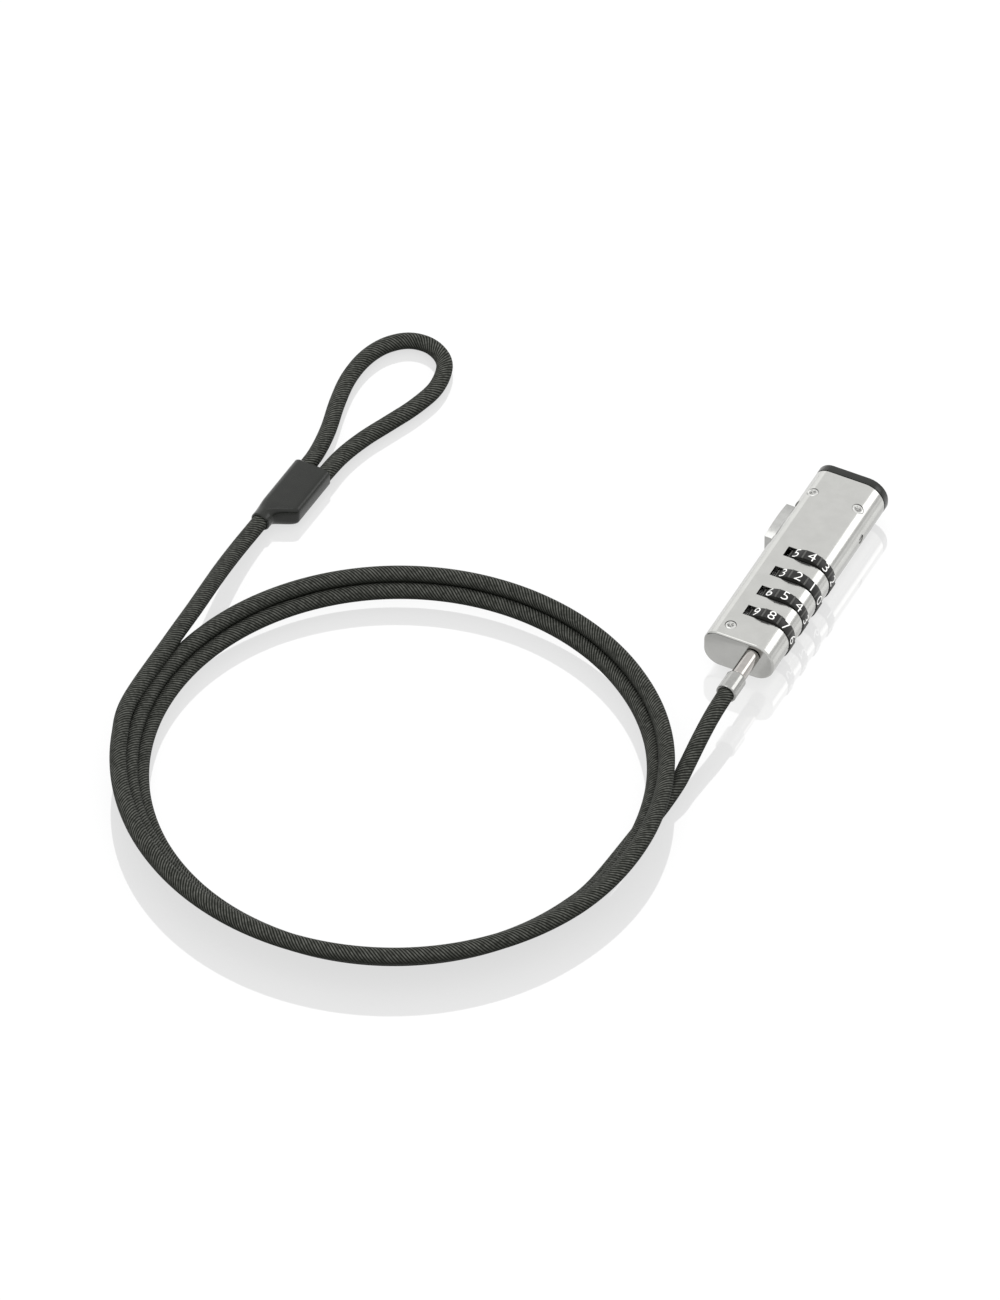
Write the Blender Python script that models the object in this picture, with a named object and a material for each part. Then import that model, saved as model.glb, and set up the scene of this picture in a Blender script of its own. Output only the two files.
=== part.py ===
"""Combination laptop cable lock with a coiled steel cable.

Sizes and places below are in millimetres in the lock's own frame and become metres in place().
+Y runs along the lock from its cable end to its nose, +X points to the dial side and +Z is up.
The origin is the middle of the lock's bounding box, at the height of the surface it stands on.
"""
import bmesh
import bpy
from math import atan2, cos, pi, radians, sin
from mathutils import Matrix, Vector

MM = 0.001
GAP = 0.35

# Housing: a rounded oblong shell, open at the nose
WIDTH = 21.5
HEIGHT = 12.4
LENGTH = 71.4
WALL = 1.1
CORNERS = (6.0, 4.5, 5.0, 5.8)
EDGE = 0.6
CAP_LENGTH = 2.95
NOSE_Y = LENGTH + CAP_LENGTH
TAIL_WALL = 2.5
MID_HEIGHT = HEIGHT / 2

# Hollows in the housing, each from its own left side, and the solids left standing in them
STEM_CHAMBER_LEFT = -0.5
DIAL_CHAMBER_LEFT = -6.6
DIAL_CHAMBER_END = 42.2
HOLLOW_LAP = 0.2
SPRING_POST = (-2.2, -1.0)
SPRING_POST_HALF = 1.7
SCREW_BOSS_X = (6.2, WIDTH / 2 - 0.6)
SCREW_BOSS_HALF = 2.2
SCREW_BOSS_TOP = HEIGHT - 3.4

# Dials, their code sleeves and the spindle that runs through them
DIAL_COUNT = 4
DIGITS = 10
DIGIT_STEP = 360 / DIGITS
DIAL_PITCH = 8.58
FIRST_DIAL_Y = 12.0
DIAL_RADIUS = 8.0
DIAL_GROOVE = 0.25
DIAL_THICKNESS = 3.3
DIAL_BORE = 4.65
DIAL_X = 3.2
SPINDLE_HEIGHT = 5.9
DIGIT_ANGLE = 80.0
SLEEVE_LENGTH = 5.4
SLEEVE_RADIUS = DIAL_BORE - GAP
SLEEVE_BORE = 2.2
SPINDLE_RADIUS = 1.7
RIVET_RADIUS = 2.4
SPINDLE_Y = (5.7, 54.3)
FIN_RADIUS = 3.4
FIN_WIDTH = 1.3
FIN_LENGTH = 1.3
SLOT_LEFT = -3.3

# Pins as (x, y, bottom, top) and the code-setting screw in the right-hand wall
PIN_RADIUS = 1.45
NOSE_PIN_X = 7.0
NOSE_PIN_Y = 62.1
PINS = {
    "nose_pin_left": (-NOSE_PIN_X, NOSE_PIN_Y, 3.2, 12.0),
    "nose_pin_right": (NOSE_PIN_X, NOSE_PIN_Y, 3.2, 11.6),
    "tail_pin": (-4.65, 4.7, 2.35, 12.1),
}
SCREW_RADIUS = 1.2
SCREW_Y = 56.5
SCREW_HEIGHT = 6.6
SCREW_LEFT = 6.95

# Latch: button, spreader, claws
BUTTON_Y = (43.8, 58.1)
BUTTON_Z = (3.5, 9.0)
BUTTON_LEFT = -13.1
BUTTON_INNER = -8.0
BUTTON_RAMP = ((-8.6, 10.9), (-10.5, BUTTON_Z[1]))
BUTTON_EAR = 1.4
BUTTON_SPRING_Y = 46.6
BUTTON_TRAVEL = 2.0
SPINDLE_TRAVEL = 1.2
SLOPE = SPINDLE_TRAVEL / BUTTON_TRAVEL
RAMP_Y = 52.0
RAMP_END_Y = 55.5
WEDGE_TIP_X = -4.6
SPREADER_THICKNESS = 2.0
ARM_LEFT = -4.9
WEDGE_HALF = 1.7
WEDGE_Y = (62.0, 63.2)
CLAW_TRAVEL = 0.9
CLAW_THICKNESS = 2.4
CLAW_CHANNEL = 3.65
CLAW_SPRING_Y = 68.0
CAP_PEG = (6.5, 3.2, 0.8)
CLAW_TIP_Y = 77.55
BLOCK_Y = (60.0, LENGTH - 0.1)
FRONT_PLATE_Y = (43.6, 44.6)
REAR_PLATE_Y = (5.0, 6.0)
HUB_Y = (50.2, 53.4)

# Swivel at the cable end
STEM_X = 4.4
STEM_HEIGHT = 8.7
STEM_RADIUS = 2.3
STEM_LENGTH = 10.0
NECK_RADIUS = 1.5
FERRULE_RADIUS = 3.0
FERRULE_LENGTH = 6.8

# Cable, loop sleeve and coil
CABLE_RADIUS = 2.35
COIL_CENTRE = (-65.6, -118.3)
COIL_RADIUS = 68.75
COIL_GROWTH = 3.1
COIL_RISE = 3.5
COIL_TURNS = 2.53
LOOP_SLEEVE_AT = (-143.8, -46.3)
LOOP_SLEEVE_TURN = -3.0
LOOP_SLEEVE_Z = (0.4, 6.4)
LOOP_SLEEVE_EDGE = 1.9

LEAD_ROUTE = (
    (5.35, -56.3, 10.8), (5.35, -64.0, 10.0), (5.45, -72.0, 8.3), (5.8, -80.5, 6.3), (6.1, -87.6, 5.0),
)
TAIL_ROUTE = (
    (-142.1, -90.6, 9.5), (-143.0, -80.0, 7.9), (-143.9, -69.5, 6.1), (-144.4, -58.5, 4.4), (-144.2, -46.7, 3.45),
)
EYE_ROUTE = (
    (-142.6, -20.8, 3.25), (-142.8, -13.0, 2.7), (-144.2, -3.6, 2.4), (-146.8, 7.1, 2.35), (-148.4, 17.2, 2.35),
    (-147.9, 26.6, 2.35), (-145.0, 34.1, 2.35), (-139.6, 38.9, 2.35), (-132.7, 39.2, 2.35), (-126.7, 34.6, 2.35),
    (-124.6, 25.3, 2.35), (-126.5, 15.7, 2.35), (-130.0, 6.5, 2.35), (-133.5, -2.4, 2.4), (-135.8, -11.6, 2.7),
    (-136.6, -21.1, 3.25),
)
LONG_STEP = 8.0
EYE_STEP = 6.0

HOUSING_METAL = ((0.72, 0.72, 0.70), 0.28, 1.0)
BRIGHT_METAL = ((0.80, 0.80, 0.79), 0.18, 1.0)
DARK_STEEL = ((0.45, 0.45, 0.46), 0.35, 1.0)
BRASS = ((0.72, 0.56, 0.30), 0.35, 1.0)
BLACK_PLASTIC = ((0.035, 0.036, 0.034), 0.45, 0.0)
CABLE_JACKET = ((0.06, 0.062, 0.058), 0.4, 0.0)


def circle(radius, centre, segments=32):
    """Points of a circle across the lock, as (x, z)."""
    steps = (2 * pi * k / segments for k in range(segments))
    return [(centre[0] + radius * cos(a), centre[1] + radius * sin(a)) for a in steps]


def rounded_outline(inset=0.0, left=-WIDTH / 2, radii=CORNERS, segments=7):
    """The housing's outline across the lock, inset evenly, with its left side at a chosen place."""
    right, top, bottom = WIDTH / 2 - inset, HEIGHT - inset, inset
    left += inset
    points = []
    for k, radius in enumerate(radii):
        r = max(radius - inset, 0.4)
        cx = right - r if k in (0, 3) else left + r
        cz = top - r if k in (0, 1) else bottom + r
        for step in range(segments + 1):
            a = pi / 2 * (k + step / segments)
            points.append((cx + r * cos(a), cz + r * sin(a)))
    return points


def dial_outline(centre=(0.0, 0.0)):
    """The rim of a dial: ten shallow cells for the digits with a narrow ridge between each two."""
    low = DIAL_RADIUS - DIAL_GROOVE
    cell = [(-2.5, DIAL_RADIUS), (2.5, DIAL_RADIUS), (4.5, low), (13.5, low), (22.5, low), (31.5, low)]
    points = []
    for digit in range(DIGITS):
        for turn, radius in cell:
            a = radians(DIGIT_ANGLE + DIGIT_STEP * (digit + 0.5) + turn)
            points.append((centre[0] + radius * cos(a), centre[1] + radius * sin(a)))
    return points


BELLY = -min(z for _, z in dial_outline()) - SPINDLE_HEIGHT
ORIGIN = Vector(((DIAL_X + DIAL_RADIUS + BUTTON_LEFT) / 2, CLAW_TIP_Y / 2, -BELLY))


def material(name, look):
    made = bpy.data.materials.new(name)
    made.use_nodes = True
    shader = made.node_tree.nodes["Principled BSDF"]
    colour, roughness, metallic = look
    shader.inputs["Base Color"].default_value = (*colour, 1.0)
    shader.inputs["Roughness"].default_value = roughness
    shader.inputs["Metallic"].default_value = metallic
    made.diffuse_color = (*colour, 1.0)
    return made


def place(name, shape, look, pivot=(0.0, 0.0, 0.0), smooth=True):
    """Turn a bmesh in lock millimetres into an object in metres whose origin is the pivot."""
    pivot = Vector(pivot)
    bmesh.ops.transform(shape, matrix=Matrix.Translation(-pivot), verts=shape.verts)
    bmesh.ops.scale(shape, vec=(MM, MM, MM), verts=shape.verts)
    bmesh.ops.recalc_face_normals(shape, faces=shape.faces)
    mesh = bpy.data.meshes.new(name)
    shape.to_mesh(mesh)
    shape.free()
    if smooth:
        mesh.shade_smooth()
        mesh.set_sharp_from_angle(angle=radians(35))
    mesh.materials.append(material(name, look))
    made = bpy.data.objects.new(name, mesh)
    made.location = (pivot - ORIGIN) * MM
    bpy.context.scene.collection.objects.link(made)
    return made


def helper(name, shape):
    """A hidden shape that only cuts or joins others."""
    made = place(name, shape, DARK_STEEL, smooth=False)
    made.hide_render = True
    made.display_type = "WIRE"
    return made


def combine(target, shape, operation="DIFFERENCE"):
    tool = helper(f"{target.name}_{operation.lower()}_{len(target.modifiers)}", shape)
    modifier = target.modifiers.new(tool.name, "BOOLEAN")
    modifier.operation = operation
    modifier.solver = "EXACT"
    modifier.object = tool
    return target


def add_loft(shape, sections):
    """Add a closed solid through outlines of (x, z) points, given as (y, outline), capped at both ends."""
    loops = [[shape.verts.new((x, y, z)) for x, z in outline] for y, outline in sections]
    count = len(loops[0])
    for low, high in zip(loops, loops[1:]):
        for k in range(count):
            n = (k + 1) % count
            shape.faces.new((low[k], low[n], high[n], high[k]))
    shape.faces.new(loops[0])
    shape.faces.new(reversed(loops[-1]))


def loft(*sections):
    shape = bmesh.new()
    add_loft(shape, sections)
    return shape


def add_box(shape, low, high):
    corners = [(low[0], low[2]), (high[0], low[2]), (high[0], high[2]), (low[0], high[2])]
    add_loft(shape, [(low[1], corners), (high[1], corners)])


def boxes(*spans):
    """Separate boxes, each given as its low and its high corner."""
    shape = bmesh.new()
    for low, high in spans:
        add_box(shape, low, high)
    return shape


def rod(radius, centre, low, high, segments=32):
    """A rod along the lock's length, centred at (x, z)."""
    ring = circle(radius, centre, segments)
    return loft((low, ring), (high, ring))


def stepped_rod(steps, centre, segments=32):
    """A turned piece along the lock's length from (y, radius) pairs."""
    return loft(*((y, circle(radius, centre, segments)) for y, radius in steps))


def plate(outline, low, high):
    """A flat piece whose outline is (x, y) points, between two heights."""
    shape = bmesh.new()
    bottom = [shape.verts.new((x, y, low)) for x, y in outline]
    top = [shape.verts.new((x, y, high)) for x, y in outline]
    count = len(outline)
    for k in range(count):
        n = (k + 1) % count
        shape.faces.new((bottom[k], bottom[n], top[n], top[k]))
    shape.faces.new(bottom)
    shape.faces.new(reversed(top))
    return shape


def turned_ring(profile, centre, segments=32, start=0.0, sweep=360.0):
    """Turn a closed (radius, y) profile about an axis along the lock, all round or in part."""
    shape = bmesh.new()
    closed = sweep >= 360.0
    count = segments if closed else segments + 1
    loops = []
    for step in range(count):
        a = radians(start + sweep * step / segments)
        loops.append([
            shape.verts.new((centre[0] + r * cos(a), y, centre[1] + r * sin(a))) for r, y in profile
        ])
    pairs = list(zip(loops, loops[1:])) + ([(loops[-1], loops[0])] if closed else [])
    size = len(profile)
    for one, two in pairs:
        for k in range(size):
            n = (k + 1) % size
            shape.faces.new((one[k], one[n], two[n], two[k]))
    if not closed:
        shape.faces.new(loops[0])
        shape.faces.new(reversed(loops[-1]))
    return shape


def pin_hole(x, y, radius, low, high, segments=24):
    """An upright round shape: a pin, or the cutter for its hole."""
    shape = bmesh.new()
    bmesh.ops.create_cone(
        shape, cap_ends=True, segments=segments, radius1=radius, radius2=radius, depth=high - low,
        matrix=Matrix.Translation((x, y, (low + high) / 2)),
    )
    return shape


def cross_rod(radius, low, high, y, z, segments=24):
    """A rod across the lock, along X."""
    shape = bmesh.new()
    turn = Matrix.Rotation(pi / 2, 4, "Y")
    bmesh.ops.create_cone(
        shape, cap_ends=True, segments=segments, radius1=radius, radius2=radius, depth=high - low,
        matrix=Matrix.Translation(((low + high) / 2, y, z)) @ turn,
    )
    return shape


def tube(points, radius, segments=8):
    """A closed tube along a list of points."""
    shape = bmesh.new()
    points = [Vector(p) for p in points]
    ahead = points[1] - points[0]
    side = ahead.cross(Vector((0.0, 0.0, 1.0)))
    if side.length < 1e-6:
        side = Vector((1.0, 0.0, 0.0))
    loops = []
    last = len(points) - 1
    for k, point in enumerate(points):
        ahead = (points[min(k + 1, last)] - points[max(k - 1, 0)]).normalized()
        side = (side - ahead * side.dot(ahead)).normalized()
        up = ahead.cross(side)
        loops.append([
            shape.verts.new(point + radius * (cos(a) * side + sin(a) * up))
            for a in (2 * pi * s / segments for s in range(segments))
        ])
    for low, high in zip(loops, loops[1:]):
        for s in range(segments):
            n = (s + 1) % segments
            shape.faces.new((low[s], low[n], high[n], high[s]))
    shape.faces.new(loops[0])
    shape.faces.new(reversed(loops[-1]))
    return shape


def coil_spring(start, end, radius, wire, turns, per_turn=10):
    """A wound spring between two points, as a closed tube."""
    start, end = Vector(start), Vector(end)
    axis = (end - start).normalized()
    side = axis.orthogonal().normalized()
    up = axis.cross(side)
    inset = wire / (end - start).length
    points = []
    for step in range(turns * per_turn + 1):
        part = inset + (1 - 2 * inset) * step / (turns * per_turn)
        a = 2 * pi * step / per_turn
        points.append(start.lerp(end, part) + radius * (cos(a) * side + sin(a) * up))
    return tube(points, wire, segments=6)


def smooth_route(route, step):
    """Points at an even step along a smooth curve through the route's own points."""
    points = [Vector(p) for p in route]
    ends = [2 * points[0] - points[1]] + points + [2 * points[-1] - points[-2]]
    fine = []
    for a, b, c, d in zip(ends, ends[1:], ends[2:], ends[3:]):
        for part in (k / 12 for k in range(12)):
            fine.append(0.5 * (
                2 * b + (c - a) * part + (2 * a - 5 * b + 4 * c - d) * part ** 2
                + (3 * b - a - 3 * c + d) * part ** 3
            ))
    fine.append(points[-1])
    lengths = [0.0]
    for one, two in zip(fine, fine[1:]):
        lengths.append(lengths[-1] + (two - one).length)
    count = max(2, round(lengths[-1] / step))
    even = []
    for k in range(count + 1):
        target = lengths[-1] * k / count
        n = next(i for i, done in enumerate(lengths) if done >= target - 1e-9)
        n = max(n, 1)
        span = lengths[n] - lengths[n - 1]
        even.append(fine[n - 1].lerp(fine[n], (target - lengths[n - 1]) / span))
    return even


def dial_middles():
    return [FIRST_DIAL_Y + DIAL_PITCH * k for k in range(DIAL_COUNT)]


def make_housing():
    """Shell with dial slots, button window, stem hole, pin holes, a post for the button spring and a screw boss."""
    full = rounded_outline()
    shell = place("housing", loft((0.0, rounded_outline(EDGE)), (0.18, rounded_outline(0.18)), (EDGE, full),
                                  (LENGTH, full)), HOUSING_METAL)
    stem_chamber = rounded_outline(WALL, left=STEM_CHAMBER_LEFT - WALL, radii=(6.0, 1.6, 1.6, 5.8))
    dial_chamber = rounded_outline(WALL, left=DIAL_CHAMBER_LEFT - WALL, radii=(6.0, 1.6, 1.6, 5.8))
    nose_chamber = rounded_outline(WALL)
    dial_start = REAR_PLATE_Y[1] + HOLLOW_LAP
    combine(shell, loft((TAIL_WALL, stem_chamber), (dial_start, stem_chamber)))
    combine(shell, loft((dial_start - HOLLOW_LAP / 2, dial_chamber), (DIAL_CHAMBER_END, dial_chamber)))
    combine(shell, loft((DIAL_CHAMBER_END - HOLLOW_LAP, nose_chamber), (LENGTH + 1.0, nose_chamber)))
    half = DIAL_THICKNESS / 2 + 0.3
    combine(shell, boxes(*(((SLOT_LEFT, y - half, -1.0), (WIDTH, y + half, HEIGHT + 1.0)) for y in dial_middles())))
    window = ((-WIDTH, BUTTON_Y[0] - GAP, BUTTON_Z[0] - GAP), (BUTTON_INNER + 0.3, BUTTON_Y[1] + GAP, HEIGHT - WALL))
    combine(shell, boxes(window))
    low, high = WALL - 0.3, HEIGHT - WALL + 0.3
    post = ((SPRING_POST[0], BUTTON_SPRING_Y - SPRING_POST_HALF, low),
            (SPRING_POST[1], BUTTON_SPRING_Y + SPRING_POST_HALF, high))
    boss = ((SCREW_BOSS_X[0], SCREW_Y - SCREW_BOSS_HALF, low),
            (SCREW_BOSS_X[1], SCREW_Y + SCREW_BOSS_HALF, SCREW_BOSS_TOP))
    combine(shell, boxes(post, boss), "UNION")
    combine(shell, rod(NECK_RADIUS + GAP, (STEM_X, STEM_HEIGHT), -1.0, TAIL_WALL + 0.5, 24))
    for name, (x, y, bottom, _) in PINS.items():
        start = bottom - GAP if name == "tail_pin" else MID_HEIGHT
        combine(shell, pin_hole(x, y, PIN_RADIUS + GAP, start, HEIGHT + 1.0))
    return combine(shell, cross_rod(SCREW_RADIUS + GAP, SCREW_LEFT - GAP, WIDTH, SCREW_Y, SCREW_HEIGHT))


def make_nose_cap():
    """Plastic end cap with the claws' opening and two pegs into the guide block."""
    full = rounded_outline()
    cap = place("nose_cap", loft((LENGTH + 0.3, full), (NOSE_Y - 0.4, full), (NOSE_Y, rounded_outline(0.35))),
                BLACK_PLASTIC)
    x, z, radius = CAP_PEG
    for side in (-x, x):
        combine(cap, rod(radius, (side, z), BLOCK_Y[1] - 2.2, LENGTH + 0.8, 16), "UNION")
    half = CLAW_THICKNESS / 2 + GAP
    opening = ((-CLAW_CHANNEL + 0.4, BLOCK_Y[0], MID_HEIGHT - half), (CLAW_CHANNEL - 0.4, 80.0, MID_HEIGHT + half))
    return combine(cap, boxes(opening))


def make_latch_block():
    """Guide block in the nose: a channel for the claws, cross holes for their springs, two pin holes."""
    outline = rounded_outline(WALL + GAP)
    block = place("latch_block", loft((BLOCK_Y[0], outline), (BLOCK_Y[1], outline)), DARK_STEEL)
    half = CLAW_THICKNESS / 2 + 0.3
    combine(block, boxes(((-CLAW_CHANNEL, 50.0, MID_HEIGHT - half), (CLAW_CHANNEL, 80.0, MID_HEIGHT + half))))
    combine(block, cross_rod(1.2, -7.25, 7.25, CLAW_SPRING_Y, MID_HEIGHT, 16))
    for x in (-NOSE_PIN_X, NOSE_PIN_X):
        combine(block, pin_hole(x, NOSE_PIN_Y, PIN_RADIUS + GAP, -1.0, HEIGHT + 1.0))
    x, z, radius = CAP_PEG
    for side in (-x, x):
        combine(block, rod(radius + 0.3, (side, z), BLOCK_Y[1] - 2.6, 80.0, 16))
    return block


def make_pins():
    for name, (x, y, bottom, top) in PINS.items():
        place(name, pin_hole(x, y, PIN_RADIUS, bottom, top), BRIGHT_METAL)


def make_setting_screw():
    """Round screw set flush in the right-hand wall, with a slot across its head."""
    head = WIDTH / 2 - 0.25
    screw = place("setting_screw", cross_rod(SCREW_RADIUS, SCREW_LEFT, head, SCREW_Y, SCREW_HEIGHT),
                  BRIGHT_METAL, pivot=(0.0, SCREW_Y, SCREW_HEIGHT))
    slot = ((head - 0.5, SCREW_Y - 2.0, SCREW_HEIGHT - 0.25), (WIDTH, SCREW_Y + 2.0, SCREW_HEIGHT + 0.25))
    return combine(screw, boxes(slot))


def make_dials():
    """Each numbered dial turns a code sleeve with a gate for the spindle's fin."""
    centre = (DIAL_X, SPINDLE_HEIGHT)
    for number, y in enumerate(dial_middles(), 1):
        half = DIAL_THICKNESS / 2
        rim = dial_outline(centre)
        pivot = (DIAL_X, y, SPINDLE_HEIGHT)
        dial = place(f"dial_{number}", loft((y - half, rim), (y + half, rim)), BLACK_PLASTIC, pivot)
        combine(dial, rod(DIAL_BORE, centre, y - half - 1, y + half + 1, 32))
        half = SLEEVE_LENGTH / 2
        wall = [(SLEEVE_BORE, y - half), (SLEEVE_RADIUS, y - half), (SLEEVE_RADIUS, y + half), (SLEEVE_BORE, y + half)]
        sleeve = place(f"code_sleeve_{number}", turned_ring(wall, centre, 32), BRASS, pivot)
        gate = radians(180.0 - DIGIT_STEP * (2 * number - 1))
        mid = Vector((DIAL_X + 3.0 * cos(gate), 0.0, SPINDLE_HEIGHT + 3.0 * sin(gate)))
        cutter = boxes(((-0.85, y - half - 1, -0.85), (0.85, y + half + 1, 0.85)))
        bmesh.ops.transform(cutter, matrix=Matrix.Translation(mid) @ Matrix.Rotation(-gate, 4, "Y"),
                            verts=cutter.verts)
        combine(sleeve, cutter)


def make_spindle():
    """Shaft through the code sleeves, with one fin beside each sleeve and a riveted end at the hub."""
    centre = (DIAL_X, SPINDLE_HEIGHT)
    steps = ((SPINDLE_Y[0], 1.4), (SPINDLE_Y[0] + 0.3, SPINDLE_RADIUS), (HUB_Y[1] + GAP, SPINDLE_RADIUS),
             (HUB_Y[1] + GAP, RIVET_RADIUS), (SPINDLE_Y[1], RIVET_RADIUS))
    spindle = place("spindle", stepped_rod(steps, centre, 24), BRIGHT_METAL)
    fins = []
    for y in dial_middles():
        start = y + SLEEVE_LENGTH / 2 + GAP + SPINDLE_TRAVEL
        fins.append(((DIAL_X - FIN_RADIUS, start, SPINDLE_HEIGHT - FIN_WIDTH / 2),
                     (DIAL_X - 0.5, start + FIN_LENGTH, SPINDLE_HEIGHT + FIN_WIDTH / 2)))
    return combine(spindle, boxes(*fins), "UNION")


def make_plates():
    """Two plates that carry the spindle's ends, fixed in the housing."""
    for name, (low, high), left in (("rear_plate", REAR_PLATE_Y, -0.5), ("front_plate", FRONT_PLATE_Y, -5.4)):
        outline = rounded_outline(WALL + GAP, left=left - WALL, radii=(6.0, 1.8, 1.8, 5.8))
        carrier = place(name, loft((low, outline), (high, outline)), DARK_STEEL)
        combine(carrier, rod(SPINDLE_RADIUS + GAP, (DIAL_X, SPINDLE_HEIGHT), low - 1, high + 1, 24))


def make_detent_spring():
    """Leaf along the dial row with one finger that settles between the ridges of each dial."""
    back, face, tip = -6.25, -5.95, DIAL_X - DIAL_RADIUS - GAP
    outline = [(back, 8.2), (face, 8.2)]
    for y in dial_middles():
        outline += [(face, y - 1.2), (tip, y - 0.4), (tip, y + 0.4), (face, y + 1.2)]
    outline += [(face, 40.8), (back, 40.8)]
    return place("detent_spring", plate(outline, SPINDLE_HEIGHT - 1.6, SPINDLE_HEIGHT + 1.6), BRIGHT_METAL,
                 smooth=False)


def make_spindle_spring():
    start = (DIAL_X, FRONT_PLATE_Y[1] + 0.3, SPINDLE_HEIGHT)
    end = (DIAL_X, HUB_Y[0] - 0.3, SPINDLE_HEIGHT)
    return place("spindle_spring", coil_spring(start, end, 2.35, 0.25, 4), BRIGHT_METAL)


def make_spreader():
    """Slide that the spindle carries: a hub, an arm with the button's ramp and the claws' wedge."""
    half = SPREADER_THICKNESS / 2
    front, tip = WEDGE_Y
    back = HUB_Y[0] - 0.3
    ramp = [(-WEDGE_HALF, RAMP_Y + SLOPE * (-WEDGE_HALF - WEDGE_TIP_X) - GAP),
            (ARM_LEFT, RAMP_Y + SLOPE * (ARM_LEFT - WEDGE_TIP_X) - GAP)]
    arm = [(ARM_LEFT, back), (2.0, back), (2.0, HUB_Y[1] - 0.4), (WEDGE_HALF, HUB_Y[1]), (WEDGE_HALF, front),
           (WEDGE_HALF - CLAW_TRAVEL, tip), (CLAW_TRAVEL - WEDGE_HALF, tip), (-WEDGE_HALF, front)] + ramp
    spreader = place("spreader", plate(arm, MID_HEIGHT - half, MID_HEIGHT + half), DARK_STEEL, smooth=False)
    hub = ((DIAL_X - 2.5, HUB_Y[0], SPINDLE_HEIGHT - 2.7), (DIAL_X + 2.7, HUB_Y[1], SPINDLE_HEIGHT + 2.7))
    combine(spreader, boxes(hub), "UNION")
    centre = (DIAL_X, SPINDLE_HEIGHT)
    combine(spreader, rod(RIVET_RADIUS + GAP, centre, HUB_Y[1], SPINDLE_Y[1] + GAP, 24))
    return combine(spreader, rod(SPINDLE_RADIUS + GAP, centre, 40.0, 60.0, 24))


def make_button():
    """Side button: thumb pad, retaining ears inside the housing and the wedge that moves the spreader."""
    bottom, top = BUTTON_Z
    rear, front = BUTTON_Y
    inner_top = BUTTON_RAMP[0][1]
    section = [(BUTTON_LEFT, bottom), (BUTTON_INNER, bottom), (BUTTON_INNER, inner_top), *BUTTON_RAMP,
               (BUTTON_LEFT, top)]
    button = place("button", loft((rear, section), (front, section)), BRIGHT_METAL,
                   pivot=(BUTTON_LEFT, (rear + front) / 2, MID_HEIGHT), smooth=False)
    ears = ((-9.3, rear - BUTTON_EAR, bottom + 0.5), (BUTTON_INNER - 0.1, front + BUTTON_EAR, top - 0.4))
    combine(button, boxes(ears), "UNION")
    reach = BUTTON_INNER - 0.5
    wedge = [(reach, RAMP_Y + SLOPE * (reach - WEDGE_TIP_X)), (WEDGE_TIP_X, RAMP_Y), (WEDGE_TIP_X, RAMP_END_Y),
             (reach, RAMP_END_Y)]
    half = SPREADER_THICKNESS / 2
    return combine(button, plate(wedge, MID_HEIGHT - half, MID_HEIGHT + half), "UNION")


def make_button_spring():
    start = (BUTTON_INNER + 0.3, BUTTON_SPRING_Y, MID_HEIGHT)
    end = (SPRING_POST[0] - 0.3, BUTTON_SPRING_Y, MID_HEIGHT)
    return place("button_spring", coil_spring(start, end, 1.35, 0.25, 4), BRIGHT_METAL)


def make_claws():
    """Two claws with outward hooks: the spreader holds them apart, small springs push them together."""
    half = CLAW_THICKNESS / 2
    start, slope_end = WEDGE_Y
    inner = WEDGE_HALF + GAP
    outline = [(3.3, start), (inner, start), (inner - CLAW_TRAVEL, slope_end), (inner - CLAW_TRAVEL, 64.2),
               (1.6, 64.8), (1.6, CLAW_TIP_Y - 0.35), (1.9, CLAW_TIP_Y), (3.2, CLAW_TIP_Y), (3.8, CLAW_TIP_Y - 0.55),
               (3.8, 76.0), (2.9, 75.8), (2.9, 65.2), (3.3, 64.8)]
    for name, side in (("left", -1), ("right", 1)):
        points = [(side * x, y) for x, y in outline]
        place(f"claw_{name}", plate(points, MID_HEIGHT - half, MID_HEIGHT + half), BRIGHT_METAL,
              pivot=(side * 2.25, 70.0, MID_HEIGHT), smooth=False)
        place(f"claw_spring_{name}", coil_spring((side * 6.95, CLAW_SPRING_Y, MID_HEIGHT),
                                                 (side * 3.2, CLAW_SPRING_Y, MID_HEIGHT), 0.7, 0.15, 4, 8),
              BRIGHT_METAL)


def make_swivel():
    """Stem that turns in the tail wall, its retaining clip and the ferrule crimped on the cable."""
    centre = (STEM_X, STEM_HEIGHT)
    steps = ((-STEM_LENGTH, STEM_RADIUS - 0.2), (-STEM_LENGTH + 0.2, STEM_RADIUS), (-0.3, STEM_RADIUS),
             (-0.3, NECK_RADIUS), (2.75, NECK_RADIUS), (2.75, 1.0), (3.45, 1.0), (3.45, NECK_RADIUS),
             (4.1, NECK_RADIUS))
    pivot = (STEM_X, 0.0, STEM_HEIGHT)
    place("swivel_stem", stepped_rod(steps, centre, 32), BRIGHT_METAL, pivot)
    clip = [(1.3, 2.9), (2.3, 2.9), (2.3, 3.3), (1.3, 3.3)]
    place("stem_clip", turned_ring(clip, centre, 20, start=-60.0, sweep=300.0), BRIGHT_METAL, pivot)
    end = -STEM_LENGTH - 0.3
    steps = ((end - FERRULE_LENGTH, FERRULE_RADIUS - 0.3), (end - FERRULE_LENGTH + 0.3, FERRULE_RADIUS),
             (end - 0.3, FERRULE_RADIUS), (end, FERRULE_RADIUS - 0.3))
    place("ferrule", stepped_rod(steps, centre, 32), BRIGHT_METAL, pivot)


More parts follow.
